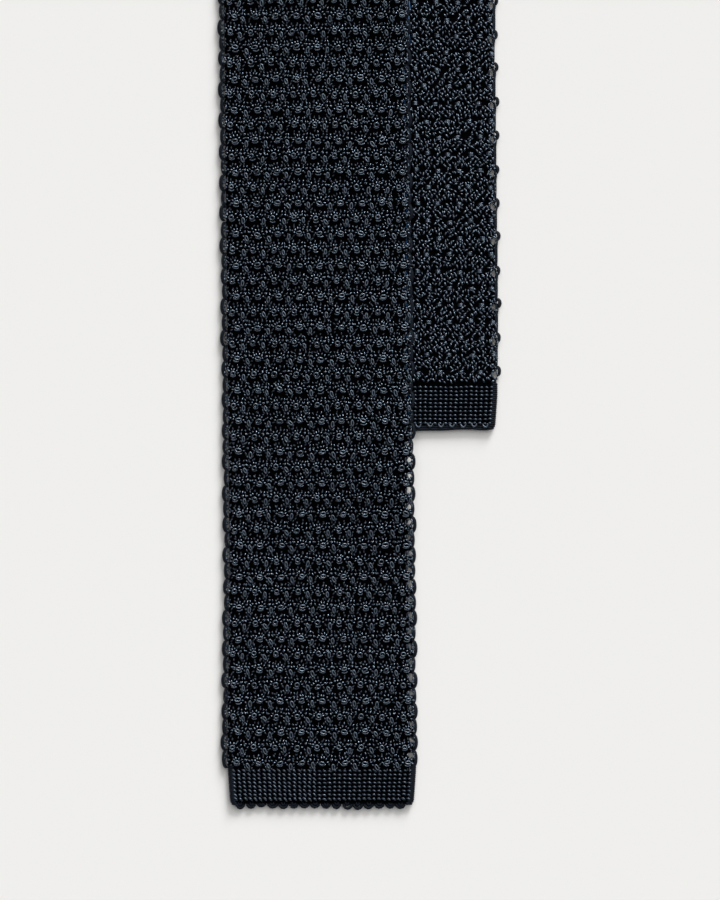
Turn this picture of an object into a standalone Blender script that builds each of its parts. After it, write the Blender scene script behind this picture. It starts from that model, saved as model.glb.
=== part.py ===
"""A silk knit necktie with square ends, folded in half at the neck and laid flat.

The wide front half lies face up on the tail half, which lies back up and a little to one
side. Each half is one knitted strip folded round to a flat tube and sewn up the middle of
its back. X runs across, Y runs along the tie towards the neck fold, and Z is up from the
surface that the tie rests on. Lengths are in metres.
"""

import math

import bmesh
import bpy
from mathutils import Matrix, Vector

# Lengths along the tie
FRONT_LENGTH = 0.797
TAIL_SHORTFALL = 0.124
FRONT_LOWER_LENGTH = 0.408
NECK_LENGTH = 0.138
BAND_LENGTH = 0.013
FRONT_STRAIGHT = 0.480
TAIL_STRAIGHT = 0.310
TAPER_LENGTH = 0.100

# Widths across the tie
FRONT_WIDTH = 0.063
TAIL_WIDTH = 0.060
NECK_WIDTH = 0.038
TAIL_OFFSET = 0.030
LEAN = 0.010
CORNER_RADIUS = 0.0035
CORNER_INSET = 0.0022

# Knitted tube
THICKNESS = 0.0030
WALL = 0.0011
END_THINNING = 0.0009
SEAM_SLIT = 0.0014

# How the front half lies over the tail
LAYER_GAP = 0.00045
KEEPER_ROOM = 0.00180
DRAPE_WIDTH = 0.027
DRAPE_INSET = 0.002
DRAPE_LENGTH = 0.038
PIECE_GAP = 0.0003

# Sewing thread
SEAM_THREAD = 0.00070
HEM_THREAD = 0.00030
HEM_STITCH = 0.0060
HEM_DEPTH = 0.0016
LABEL_THREAD = 0.00030

# Tape inside the neck
TAPE_WIDTH = 0.014
TAPE_THICKNESS = 0.00025

# Keeper loop and care label on the back of the front half
KEEPER_UP = 0.280
KEEPER_SPAN = 0.038
KEEPER_WIDTH = 0.011
KEEPER_THICKNESS = 0.0005
KEEPER_SLACK = 0.0010
KEEPER_FOOT = 0.005
LABEL_UP = 0.318
LABEL_WIDTH = 0.016
LABEL_LENGTH = 0.026
LABEL_THICKNESS = 0.00035
SEWN_GAP = 0.0004

# Ends, folds and joints, worked out from the lengths above
FRONT_END_Y = -FRONT_LENGTH / 2
TAIL_END_Y = FRONT_END_Y + TAIL_SHORTFALL
TURN_Z = THICKNESS + LAYER_GAP / 2
TURN_Y = FRONT_LENGTH / 2 - TURN_Z
BLADE_FOLD_Y = FRONT_END_Y + FRONT_LOWER_LENGTH
BLADE_FOLD_Z = 2 * THICKNESS + LAYER_GAP + PIECE_GAP
TAIL_JOINT_Y = FRONT_LENGTH / 2 - NECK_LENGTH
TAPER_TOP = (FRONT_END_Y + FRONT_STRAIGHT + TAPER_LENGTH, TAIL_END_Y + TAIL_STRAIGHT + TAPER_LENGTH)
MEET_Y = FRONT_LENGTH / 2 - 0.118
SPLIT_Y = MEET_Y - 0.260
LEAN_Y = FRONT_END_Y + 0.134
FRONT_X = -TAIL_OFFSET / 2 + (FRONT_WIDTH - TAIL_WIDTH) / 4
TAIL_X = FRONT_X + TAIL_OFFSET
KEEPER_Y = FRONT_END_Y + KEEPER_UP
LABEL_Y = FRONT_END_Y + LABEL_UP

SILK = (0.012, 0.014, 0.020)
SILK_BAND = (0.014, 0.017, 0.025)
NAVY_THREAD = (0.010, 0.012, 0.022)
BLUE_THREAD = (0.05, 0.16, 0.55)
TAPE_BLACK = (0.015, 0.015, 0.018)
LABEL_CLOTH = (0.06, 0.065, 0.08)


# Shape of the whole tie


def smooth(value, start, stop):
    """0 before start, 1 after stop, and an even S between them."""
    t = min(max((value - start) / (stop - start), 0.0), 1.0)
    return t * t * (3 - 2 * t)


def centre_line(y, x):
    """The middle of a half: leaning a little where it lies apart, and at X 0 in the neck."""
    return (x + LEAN * (LEAN_Y - y)) * (1 - smooth(y, SPLIT_Y, MEET_Y))


def front_centre(y):
    return centre_line(y, FRONT_X)


def tail_centre(y):
    return centre_line(y, TAIL_X)


def corner_inset(up):
    """How far a rounded corner draws the side in, at a distance up from the end."""
    if up >= CORNER_RADIUS:
        return 0.0
    across = 1 - up / CORNER_RADIUS
    return CORNER_INSET * (1 - math.sqrt(max(1 - across * across, 0.0)))


def half_width(y, width, end_y, taper_top):
    narrow = smooth(y, taper_top - TAPER_LENGTH, taper_top)
    return (width + (NECK_WIDTH - width) * narrow) / 2 - corner_inset(y - end_y)


def front_half_width(y):
    return half_width(y, FRONT_WIDTH, FRONT_END_Y, TAPER_TOP[0])


def tail_half_width(y):
    return half_width(y, TAIL_WIDTH, TAIL_END_Y, TAPER_TOP[1])


def end_thickness(up):
    return THICKNESS - END_THINNING * (1 - smooth(up, 0.0, 0.0016))


def layer_gap(y):
    """Space between the halves, which is larger where the keeper loop and the label are."""
    low, high = KEEPER_Y - 0.010, LABEL_Y + LABEL_LENGTH + 0.006
    return LAYER_GAP + KEEPER_ROOM * (smooth(y, low - 0.024, low) - smooth(y, high, high + 0.024))


def drape(x, y):
    """Height of the front half's underside above the resting surface."""
    tail_edge = tail_centre(y) - tail_half_width(max(y, TAIL_END_Y + CORNER_RADIUS))
    side = smooth(x, tail_edge - DRAPE_INSET - DRAPE_WIDTH, tail_edge - DRAPE_INSET)
    end = smooth(y, TAIL_END_Y - 0.004 - DRAPE_LENGTH, TAIL_END_Y - 0.004)
    return (THICKNESS + layer_gap(y)) * side * end


def flat(x, y):
    return 0.0


def spread(start, stop, steps):
    return [start + (stop - start) * i / steps for i in range(steps + 1)]


DRAPE_YS = (
    spread(TAIL_END_Y - 0.004 - DRAPE_LENGTH, TAIL_END_Y - 0.004, 5)
    + spread(KEEPER_Y - 0.034, KEEPER_Y - 0.010, 3)
    + spread(LABEL_Y + LABEL_LENGTH + 0.006, LABEL_Y + LABEL_LENGTH + 0.030, 3)
)
SIDEWAYS_YS = spread(SPLIT_Y, MEET_Y, 7)
FRONT_YS = DRAPE_YS + SIDEWAYS_YS + spread(TAPER_TOP[0] - TAPER_LENGTH, TAPER_TOP[0], 3)
TAIL_YS = SIDEWAYS_YS + spread(TAPER_TOP[1] - TAPER_LENGTH, TAPER_TOP[1], 3)


def stations(start, stop, keys):
    """The start, the stop, and the keys well inside them with none close together."""
    kept = [start]
    for y in sorted(keys):
        if kept[-1] + 0.004 < y < stop - 0.004:
            kept.append(y)
    return kept + [stop]


# Building


def clear_scene():
    for obj in list(bpy.data.objects):
        bpy.data.objects.remove(obj, do_unlink=True)


def material(name, colour, roughness):
    made = bpy.data.materials.new(name)
    made.use_nodes = True
    shader = made.node_tree.nodes["Principled BSDF"]
    shader.inputs["Base Color"].default_value = (*colour, 1.0)
    shader.inputs["Roughness"].default_value = roughness
    made.diffuse_color = (*colour, 1.0)
    return made


def add_object(name, data, colour, roughness=0.6):
    obj = bpy.data.objects.new(name, data)
    data.materials.append(material(name, colour, roughness))
    tie.objects.link(obj)
    return obj


def mesh_from(name, bm):
    bmesh.ops.recalc_face_normals(bm, faces=bm.faces)
    mesh = bpy.data.meshes.new(name)
    bm.to_mesh(mesh)
    bm.free()
    mesh.shade_smooth()
    mesh.set_sharp_from_angle(angle=math.radians(50))
    return mesh


def arc(u, v, wide, high, start, stop, steps):
    """Points on an ellipse about (u, v), from one angle in degrees to another."""
    angles = [math.radians(a) for a in spread(start, stop, steps)]
    return [(u + wide * math.cos(a), v + high * math.sin(a)) for a in angles]


def tube_section(half, thick, left_steps):
    """A flat knitted tube across the tie, as (u, v) points, open at the seam in its underside.

    The left half of each layer has left_steps straight steps, and the right half has one.
    """
    lip, bend = SEAM_SLIT / 2, THICKNESS / 2
    flat_half, mid = half - bend, thick / 2
    hollow = mid - WALL * thick / THICKNESS
    left = spread(-lip, -flat_half, left_steps)[:-1]
    top_left = spread(-flat_half, 0.0, left_steps)[1:]
    outside = [(u, 0.0) for u in left]
    outside += arc(-flat_half, mid, bend, mid, 270, 90, 4)
    outside += [(u, thick) for u in top_left]
    outside += arc(flat_half, mid, bend, mid, 90, -90, 4)
    outside += [(lip, 0.0), (lip, mid - hollow)]
    inside = arc(flat_half, mid, hollow, hollow, -90, 90, 2)
    inside += [(u, mid + hollow) for u in reversed(top_left)]
    inside += arc(-flat_half, mid, hollow, hollow, 90, 270, 2)
    inside += [(u, mid - hollow) for u in reversed(left)]
    return outside + inside


def loft(name, sections, colour):
    """One closed body through sections of equal point counts, each a list of world points."""
    bm = bmesh.new()
    rings = [[bm.verts.new(p) for p in section] for section in sections]
    for low, high in zip(rings, rings[1:]):
        for i in range(len(low)):
            j = (i + 1) % len(low)
            bm.faces.new((low[i], low[j], high[j], high[i]))
    bm.faces.new(rings[0])
    bm.faces.new(rings[-1])
    return add_object(name, mesh_from(name, bm), colour)


def front_section(y, thick=THICKNESS):
    x = front_centre(y)
    lift = (THICKNESS - thick) / 2
    points = tube_section(front_half_width(y), thick, 5)
    return [(x + u, y, v + lift + drape(x + u, y)) for u, v in points]


def tail_section(y, thick=THICKNESS):
    """As the front's, but turned back up, with the seam on top."""
    lift = (THICKNESS - thick) / 2
    points = tube_section(tail_half_width(y), thick, 1)
    return [(tail_centre(y) + u, y, thick - v + lift) for u, v in points]


def knit_tube(name, section, ys, colour=SILK):
    return loft(name, [section(y) for y in ys], colour)


def end_band(name, section, end_y):
    """The plain knit band that finishes an end, thinner and rounded in plan at its tip."""
    ups = [0.0, 0.0004, 0.0009, 0.0018, CORNER_RADIUS, BAND_LENGTH]
    sections = [section(end_y + up, end_thickness(up)) for up in ups]
    return loft(name, sections, SILK_BAND)


def thread(name, points, diameter, colour):
    curve = bpy.data.curves.new(name, "CURVE")
    curve.dimensions = "3D"
    curve.bevel_depth = diameter / 2
    curve.bevel_resolution = 1
    curve.use_fill_caps = True
    line = curve.splines.new("POLY")
    line.points.add(len(points) - 1)
    for point, place in zip(line.points, points):
        point.co = (*place, 1.0)
    return add_object(name, curve, colour, 0.5)


def seam_thread(name, centre, height, ys):
    points = [(centre(y), y, height(centre(y), y)) for y in ys]
    return thread(name, points, SEAM_THREAD, NAVY_THREAD)


def hem_thread(name, centre, half, height, end_y):
    """Zigzag stitches that close an end, lying between its two layers."""
    low, high = end_y + 0.0022, end_y + 0.0022 + HEM_DEPTH
    reach = half(high) - 0.004
    count = 2 * round(reach / HEM_STITCH)
    points = []
    for i, x in enumerate(spread(-reach, reach, count)):
        y = high if i % 2 else low
        points.append((centre(y) + x, y, height(centre(y) + x, y) + THICKNESS / 2))
    return thread(name, points, HEM_THREAD, NAVY_THREAD)


def strip(name, rows, thickness, colour):
    """A thin woven strip with its upper face through rows of points, thickened downwards."""
    bm = bmesh.new()
    made = [[bm.verts.new(p) for p in row] for row in rows]
    for low, high in zip(made, made[1:]):
        for i in range(len(low) - 1):
            bm.faces.new((low[i], low[i + 1], high[i + 1], high[i]))
    bmesh.ops.recalc_face_normals(bm, faces=bm.faces)
    bm.faces.ensure_lookup_table()
    if bm.faces[0].normal.z < 0:
        bmesh.ops.reverse_faces(bm, faces=bm.faces)
    mesh = bpy.data.meshes.new(name)
    bm.to_mesh(mesh)
    bm.free()
    obj = add_object(name, mesh, colour)
    solid = obj.modifiers.new("thickness", "SOLIDIFY")
    solid.thickness = thickness
    solid.offset = -1.0
    return obj


def tape(name, centre, height, ys):
    top = (THICKNESS + TAPE_THICKNESS) / 2
    rows = []
    for y in ys:
        xs = [centre(y) + side * TAPE_WIDTH / 2 for side in (-1, 1)]
        rows.append([(x, y, top + height(centre(y), y)) for x in xs])
    return strip(name, rows, TAPE_THICKNESS, TAPE_BLACK)


def turned(name, section, colour):
    """A section swept half a turn about the neck fold's axis."""
    axis_point = Vector((0.0, TURN_Y, TURN_Z))
    sections = []
    for angle in spread(0, 180, 8):
        turn = Matrix.Rotation(math.radians(angle), 3, "X")
        sections.append([axis_point + turn @ (Vector(p) - axis_point) for p in section])
    return loft(name, sections, colour)


# Groups of pieces


def build_front():
    top = BLADE_FOLD_Y - PIECE_GAP / 2
    band_top = FRONT_END_Y + BAND_LENGTH
    lower_ys = stations(band_top + PIECE_GAP, top, FRONT_YS)
    upper_ys = stations(BLADE_FOLD_Y + PIECE_GAP / 2, TURN_Y - PIECE_GAP, FRONT_YS)
    knit_tube("front_blade_knit", front_section, lower_ys)
    knit_tube("front_upper_knit", front_section, upper_ys)
    end_band("front_end_band", front_section, FRONT_END_Y)

    def thread_height(x, y):
        return drape(x, y) + WALL / 2

    thread_ys = stations(FRONT_END_Y + 0.005, top - 0.001, FRONT_YS)
    seam_thread("front_seam_thread", front_centre, thread_height, thread_ys)
    upper_thread_ys = stations(upper_ys[0] + 0.001, upper_ys[-1] - 0.001, FRONT_YS)
    seam_thread("front_upper_seam_thread", front_centre, thread_height, upper_thread_ys)
    hem_thread("front_hem_thread", front_centre, front_half_width, drape, FRONT_END_Y)
    tape_ys = stations(TAIL_JOINT_Y + 0.005, upper_ys[-1] - 0.0005, FRONT_YS)
    tape("neck_tape_front", front_centre, drape, tape_ys)


def under(across, y, depth):
    """A point below the underside of the front half, measured across from its middle."""
    x = front_centre(y) + across
    return (x, y, drape(x, y) - depth)


def build_back_fittings():
    """The keeper loop and the blank care label, sewn under the front half."""
    foot, end = KEEPER_SPAN / 2 - KEEPER_FOOT, KEEPER_SPAN / 2
    shape = [(-end, 0), (-end + 0.0025, 0), (-foot, 0), (-foot + 0.0015, 0.5), (-foot + 0.003, 1)]
    shape += [(-foot * 0.4, 1), (0.0, 1), (foot * 0.4, 1)]
    shape += [(-across, share) for across, share in reversed(shape[:5])]
    rows = []
    for y in (KEEPER_Y - KEEPER_WIDTH / 2, KEEPER_Y + KEEPER_WIDTH / 2):
        rows.append([under(across, y, SEWN_GAP + share * KEEPER_SLACK) for across, share in shape])
    strip("keeper_loop", rows, KEEPER_THICKNESS, LABEL_CLOTH)

    below = SEWN_GAP + KEEPER_THICKNESS + PIECE_GAP / 2 + LABEL_THREAD / 2
    reach = KEEPER_WIDTH / 2 - 0.001
    for side, word in ((-1, "left"), (1, "right")):
        across = side * (end - KEEPER_FOOT / 2)
        ends = [under(across, y, below) for y in (KEEPER_Y - reach, KEEPER_Y + reach)]
        thread("keeper_stitches_" + word, ends, LABEL_THREAD, NAVY_THREAD)

    rows = []
    for y in (LABEL_Y, LABEL_Y + LABEL_LENGTH):
        rows.append([under(across, y, SEWN_GAP) for across in spread(-LABEL_WIDTH / 2, LABEL_WIDTH / 2, 4)])
    strip("care_label", rows, LABEL_THICKNESS, LABEL_CLOTH)
    below = SEWN_GAP + LABEL_THICKNESS + PIECE_GAP / 2 + LABEL_THREAD / 2
    reach = LABEL_WIDTH / 2 - 0.001
    ends = [under(across, LABEL_Y + LABEL_LENGTH - 0.002, below) for across in spread(-reach, reach, 4)]
    thread("care_label_stitches", ends, LABEL_THREAD, NAVY_THREAD)


def build_tail_and_neck():
    tail_ys = stations(TAIL_END_Y + BAND_LENGTH + PIECE_GAP, TAIL_JOINT_Y - PIECE_GAP / 2, TAIL_YS)
    neck_ys = stations(TAIL_JOINT_Y + PIECE_GAP / 2, TURN_Y - PIECE_GAP, TAIL_YS)
    knit_tube("tail_blade_knit", tail_section, tail_ys)
    knit_tube("neck_knit", tail_section, neck_ys)
    end_band("tail_end_band", tail_section, TAIL_END_Y)

    def thread_height(x, y):
        return THICKNESS - WALL / 2

    thread_ys = stations(TAIL_END_Y + 0.005, tail_ys[-1] - 0.001, TAIL_YS)
    blue = seam_thread("tail_seam_thread", tail_centre, thread_height, thread_ys)
    blue.data.materials[0].node_tree.nodes["Principled BSDF"].inputs[0].default_value = (*BLUE_THREAD, 1.0)
    neck_thread_ys = stations(neck_ys[0] + 0.001, neck_ys[-1] - 0.001, TAIL_YS)
    seam_thread("neck_seam_thread", tail_centre, thread_height, neck_thread_ys)
    hem_thread("tail_hem_thread", tail_centre, tail_half_width, flat, TAIL_END_Y)
    tape_ys = stations(TAIL_JOINT_Y + 0.005, neck_ys[-1] - 0.0005, TAIL_YS)
    tape("neck_tape_back", tail_centre, flat, tape_ys)

    turned("neck_fold_knit", tail_section(TURN_Y), SILK)
    low, high = (THICKNESS - TAPE_THICKNESS) / 2, (THICKNESS + TAPE_THICKNESS) / 2
    side = TAPE_WIDTH / 2
    ring = [(-side, TURN_Y, low), (side, TURN_Y, low), (side, TURN_Y, high), (-side, TURN_Y, high)]
    turned("neck_fold_tape", ring, TAPE_BLACK)


MOVING = {
    "tail_swing_axis": (
        (NECK_WIDTH / 2, TAIL_JOINT_Y, 0.0),
        ("tail_blade_knit", "tail_end_band", "tail_seam_thread", "tail_hem_thread"),
    ),
    "neck_fold_axis": (
        (0.0, TURN_Y, TURN_Z),
        ("front_upper_knit", "front_upper_seam_thread", "neck_tape_front"),
    ),
    "blade_fold_axis": (
        (FRONT_X, BLADE_FOLD_Y, BLADE_FOLD_Z),
        (
            "front_blade_knit",
            "front_end_band",
            "front_seam_thread",
            "front_hem_thread",
            "keeper_loop",
            "keeper_stitches_left",
            "keeper_stitches_right",
            "care_label",
            "care_label_stitches",
        ),
    ),
}


def add_axes():
    """An empty on each joint's axis, holding the pieces that turn about it."""
    for name, (place, pieces) in MOVING.items():
        axis = bpy.data.objects.new(name, None)
        axis.empty_display_size = 0.02
        axis.location = place
        tie.objects.link(axis)
        for piece in pieces:
            bpy.data.objects[piece].parent = axis
            bpy.data.objects[piece].matrix_parent_inverse = Matrix.Translation(-Vector(place))
    upper = bpy.data.objects["neck_fold_axis"]
    lower = bpy.data.objects["blade_fold_axis"]
    lower.parent = upper
    lower.matrix_parent_inverse = Matrix.Translation(-upper.location)


clear_scene()
tie = bpy.data.collections.new("knit_necktie")
bpy.context.scene.collection.children.link(tie)
build_tail_and_neck()
build_front()
build_back_fittings()
add_axes()
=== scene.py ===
"""The looks of a silk knit necktie, built stitch by stitch over its fixed frame.

Lengths are in metres. Fabric points are given as (across, along, out): across the half from
its middle, along Y, and out from the middle of the flattened tube's thickness. The yarn is
placed with small chance differences, drawn in a fixed order, so that every run is the same.
"""

import math

import bpy
import numpy as np
from mathutils.bvhtree import BVHTree
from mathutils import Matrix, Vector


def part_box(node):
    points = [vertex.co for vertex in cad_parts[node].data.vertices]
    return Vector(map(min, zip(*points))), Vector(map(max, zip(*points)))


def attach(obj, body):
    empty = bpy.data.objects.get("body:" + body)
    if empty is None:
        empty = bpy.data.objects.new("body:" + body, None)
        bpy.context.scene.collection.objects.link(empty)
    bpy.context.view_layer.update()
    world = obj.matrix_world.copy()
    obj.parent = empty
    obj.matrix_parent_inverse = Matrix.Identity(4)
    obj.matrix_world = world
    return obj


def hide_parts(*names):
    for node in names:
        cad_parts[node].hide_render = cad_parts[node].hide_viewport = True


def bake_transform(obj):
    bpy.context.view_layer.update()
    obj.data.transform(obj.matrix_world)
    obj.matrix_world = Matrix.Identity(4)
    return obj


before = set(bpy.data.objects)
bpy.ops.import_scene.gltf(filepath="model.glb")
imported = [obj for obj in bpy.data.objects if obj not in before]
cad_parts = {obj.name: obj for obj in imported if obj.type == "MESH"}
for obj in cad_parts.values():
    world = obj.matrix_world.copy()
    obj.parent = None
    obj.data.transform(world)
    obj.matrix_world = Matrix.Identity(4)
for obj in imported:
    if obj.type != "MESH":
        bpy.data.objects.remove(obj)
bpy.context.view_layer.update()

rng = np.random.default_rng(7)
MM = 0.001

# The frame's measures
FRONT_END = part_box("front_end_band")[0].y
FRONT_BAND_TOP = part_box("front_end_band")[1].y
TAIL_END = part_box("tail_end_band")[0].y
BLADE_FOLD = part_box("front_blade_knit")[1].y
TAIL_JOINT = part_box("tail_blade_knit")[1].y
TURN_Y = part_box("neck_fold_knit")[0].y
TURN_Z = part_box("neck_fold_knit")[1].z / 2
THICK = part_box("neck_knit")[1].z
NECK_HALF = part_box("neck_fold_knit")[1].x

# The knit
ROW = 5.13 * MM
TAIL_ROW = 5.545 * MM
CELL_WIDE = 6.98 * MM
ROW_SHIFT = 1.5 * MM
YARN = 0.27 * MM  # the radius of the yarn
GROUND_OUT = 0.35 * MM
FACE_OUT = 1.05 * MM
BACK_OUT = 1.10 * MM
DOME = 1.45 * MM
EDGE_MARGIN = 0.2 * MM
SEAM_SLIT = 0.35 * MM
FRONT_BAND = 13.0 * MM
TAIL_BAND = 15.4 * MM

# Beside the blade's fold the stitches stand no higher than this, and higher with distance from it.
FOLD_OUT = 1.40 * MM
FOLD_RISE = 0.042

# An eyelet's hole in the inner surface, and how far round it the yarn is drawn aside, in its sizes.
EYELET_HOLE = 0.85 * MM
DRAWN_ASIDE = 2.6

# Finer yarn is used up to here, and the knit is made in pieces of about these lengths.
NEAR_LIMIT = FRONT_END + 0.276
NEAR_PIECE = 0.046
FAR_PIECE = 0.13

# The tail's seam lies in the middle near its end, and moves to its own place over this stretch.
SEAM_MOVES_TO = NEAR_LIMIT - 24 * MM
SEAM_MOVES_OVER = 12 * MM

# How many places across a half its underside is felt at, and how far in from its edges
PLACES_ACROSS = 41
FELT_INSIDE = 1.6 * MM

# The stage: shares of the floor's light, how the floor falls, and what the camera takes in.
ROOM_LIGHT = 0.09
FILL_LIGHT = 0.52
FLOOR_AT = -0.2 * MM
FLOOR_FALLS = 4 * MM
FALL_FROM = TURN_Y + 0.03
FALL_LONG = 0.36
VIEW_Y = FRONT_END + 0.1178
VIEW_TALL = 0.2970
VIEW_DISTANCE = 1.5
VIEW_HIGH = 3 * MM

# Which silk a yarn is, in the order of a yarn piece's materials: plain silk, a darker and duller copy
# that is painted shade, and a shinier copy that is painted highlight
PLAIN, IN_SHADE, PAINTED_HIGHLIGHT = 0, 1, 2


# How each half lies


class Fabric:
    """A length of the knitted tube: its rows, its selvedges' knobs, its eyelets and its seam."""

    fold_at = None

    def __init__(self, nominal, row, rows_at, knobs, eyelets, seam, seam_face, band_in=(0.0, 0.0)):
        self.nominal, self.row, self.rows_at, self.band_in = nominal, row, rows_at, band_in
        self.reach, self.proud, self.knob_at, self.knob_depth, self.knob_long = knobs
        self.eyelet_across, self.eyelet_along, self.eyelet_pitch, self.eyelet = eyelets
        self.seam, self.seam_face = seam, seam_face

    def rows(self, low, high, parts=1):
        """Numbers of the rows, or of the parts of rows, that lie from low to high."""
        spacing = self.row / parts
        first = math.ceil((low - self.rows_at) / spacing)
        last = math.floor((high - self.rows_at) / spacing)
        return np.arange(first, last + 1)

    def shape(self, points):
        """Parts the yarn round the eyelets inside the right edge."""
        points = points.copy()
        along_off, across_off, far = self.from_eyelet(points[..., 0], points[..., 1])
        parted = self.eyelet + far * (1 - 1 / DRAWN_ASIDE)
        spread = np.where(far < DRAWN_ASIDE * self.eyelet, parted / np.maximum(far, 1e-6), 1.0)
        spread = np.minimum(spread, 6.0)
        points[..., 0] += across_off * (spread - 1)
        points[..., 1] += along_off * (spread - 1)
        return points

    def clear(self, points):
        """Which lines of yarn leave the eyelets open and stop short of the fabric's end."""
        finer = np.concatenate([points, (points[:, 1:] + points[:, :-1]) / 2], axis=1)
        open_still = self.from_eyelet(finer[..., 0], finer[..., 1])[2].min(1) > 0.8 * self.eyelet
        return open_still & (points[..., 1].max(1) < self.stop)

    def from_eyelet(self, across, along):
        """How far places are from the nearest eyelet: along, across and straight."""
        pitch = self.eyelet_pitch
        along_off = (along - self.eyelet_along + pitch / 2) % pitch - pitch / 2
        across_off = across - self.eyelet_across
        return along_off, across_off, np.hypot(along_off, across_off)


class Half(Fabric):
    """A flat half: where its edges and underside are, at each place along it, read from its solids."""

    stop = TURN_Y - 0.4 * MM

    def __init__(self, nodes, end, fold_at=None, **knit):
        super().__init__(**knit)
        self.end, self.fold_at = end, fold_at
        stations = sorted(station for node in nodes for station in self.edges(node))
        known, middles, halves = np.array(stations).T
        self.ys = np.arange(end - 4 * MM, TURN_Y + 4 * MM, MM)
        centre = np.interp(self.ys, known, middles)
        half = np.interp(self.ys, known, halves)
        self.floor = np.array([self.even(low) for low in self.underside(nodes, centre, half)])
        self.centre, self.half = self.even(centre), self.even(half)

    @staticmethod
    def even(values):
        """Rounds off the corners where straight runs of the solid meet."""
        window = np.hanning(17)
        padded = np.pad(values, 8, mode="reflect", reflect_type="odd")
        return np.convolve(padded, window / window.sum(), mode="valid")

    @staticmethod
    def edges(node):
        """Where a solid's left and right edges lie: place along, middle, half width."""
        points = np.array([v.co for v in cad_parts[node].data.vertices])
        found = []
        for y in np.unique(np.round(points[:, 1], 5)):
            xs = points[np.abs(points[:, 1] - y) < 2e-5, 0]
            found.append((float(y), (xs.min() + xs.max()) / 2, (xs.max() - xs.min()) / 2))
        return found

    def underside(self, nodes, centre, half):
        """How high the solids' underside lies, at each place across and along: felt for from below."""
        points, faces = [], []
        for node in nodes:
            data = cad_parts[node].data
            faces += [[v + len(points) for v in face.vertices] for face in data.polygons]
            points += [v.co for v in data.vertices]
        solids = BVHTree.FromPolygons(points, faces)
        rows = []
        for share in np.linspace(-1, 1, PLACES_ACROSS):
            xs = centre + np.clip(share * half, FELT_INSIDE - half, half - FELT_INSIDE)
            lows = np.full(len(xs), np.nan)
            for i, (x, y) in enumerate(zip(xs, self.ys)):
                starts = [(x + aside, y, -0.01) for aside in (-MM, 0, MM)]
                hits = [solids.ray_cast(start, (0, 0, 1))[0] for start in starts]
                lows[i] = min((hit.z for hit in hits if hit), default=np.nan)
            met = ~np.isnan(lows)
            rows.append(np.interp(self.ys, self.ys[met], lows[met]))
        return rows

    def place(self, points):
        """World places of fabric points, an array whose last axis is (across, along, out)."""
        across, along, out = points[..., 0], points[..., 1], points[..., 2]
        share = across / self.nominal
        half = np.interp(along, self.ys, self.half)
        x = np.interp(along, self.ys, self.centre) + share * half
        row = np.clip((along - self.ys[0]) / MM, 0, len(self.ys) - 1.001)
        column = np.clip((share + 1) / 2 * (PLACES_ACROSS - 1), 0, PLACES_ACROSS - 1.001)
        i, j = row.astype(int), column.astype(int)
        a, b = row - i, column - j
        low = self.floor[j, i] * (1 - b) + self.floor[j + 1, i] * b
        high = self.floor[j, i + 1] * (1 - b) + self.floor[j + 1, i + 1] * b
        lift = low * (1 - a) + high * a
        return np.stack([x, along, lift + THICK / 2 + out], axis=-1)


class Turn(Fabric):
    """The half circle where the neck turns over into the front half; along starts below.

    Nothing in it is cut short, so its stop lies far beyond its length.
    """

    long = math.pi * 2.9 * MM
    stop = 1.0

    def place(self, points):
        """World places of fabric points, an array whose last axis is (across, along, out)."""
        angle = points[..., 1] / self.long * math.pi
        reach = TURN_Z - THICK / 2 - points[..., 2]
        x = points[..., 0] / self.nominal * NECK_HALF
        return np.stack([x, TURN_Y + reach * np.sin(angle), TURN_Z - reach * np.cos(angle)], axis=-1)


# Yarn


def unit(vectors):
    """The same directions, each one long."""
    return vectors / np.maximum(np.linalg.norm(vectors, axis=-1, keepdims=True), 1e-12)


def tubes(points, radius, sides):
    """Round yarn along N lines of K world points: vertices, four-sided faces, and yarn coordinates."""
    count, steps = points.shape[:2]
    ahead = np.empty_like(points)
    ahead[:, 1:-1] = points[:, 2:] - points[:, :-2]
    ahead[:, 0] = points[:, 1] - points[:, 0]
    ahead[:, -1] = points[:, -1] - points[:, -2]
    ahead = unit(ahead)
    side = unit(np.cross(ahead[:, steps // 2], [0.0, 0.0, 1.0]) + 1e-9)
    sides_at = []
    for k in range(steps):
        side = unit(side - (side * ahead[:, k]).sum(-1, keepdims=True) * ahead[:, k])
        sides_at.append(side)
    across = np.stack(sides_at, axis=1)
    upward = np.cross(across, ahead)
    turn = np.arange(sides) * 2 * math.pi / sides
    ring = across[:, :, None] * np.cos(turn)[:, None] + upward[:, :, None] * np.sin(turn)[:, None]
    vertices = (points[:, :, None] + ring * radius[:, :, None, None]).reshape(-1, 3)
    k, s = np.meshgrid(np.arange(steps - 1), np.arange(sides), indexing="ij")
    nxt = (s + 1) % sides
    face = np.stack([k * sides + s, k * sides + nxt, (k + 1) * sides + nxt, (k + 1) * sides + s], -1)
    faces = face.reshape(1, -1, 4) + (np.arange(count) * steps * sides)[:, None, None]
    strides = np.linalg.norm(np.diff(points, axis=1, prepend=points[:, :1]), axis=-1)
    lengths = np.cumsum(strides, axis=1)
    marks = np.empty((count, steps, sides, 3))
    marks[..., 0] = (lengths / MM)[:, :, None]
    marks[..., 1] = np.arange(sides) / sides
    marks[..., 2] = rng.random(count)[:, None, None]
    return vertices, faces.reshape(-1, 4), marks.reshape(-1, 3)


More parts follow.
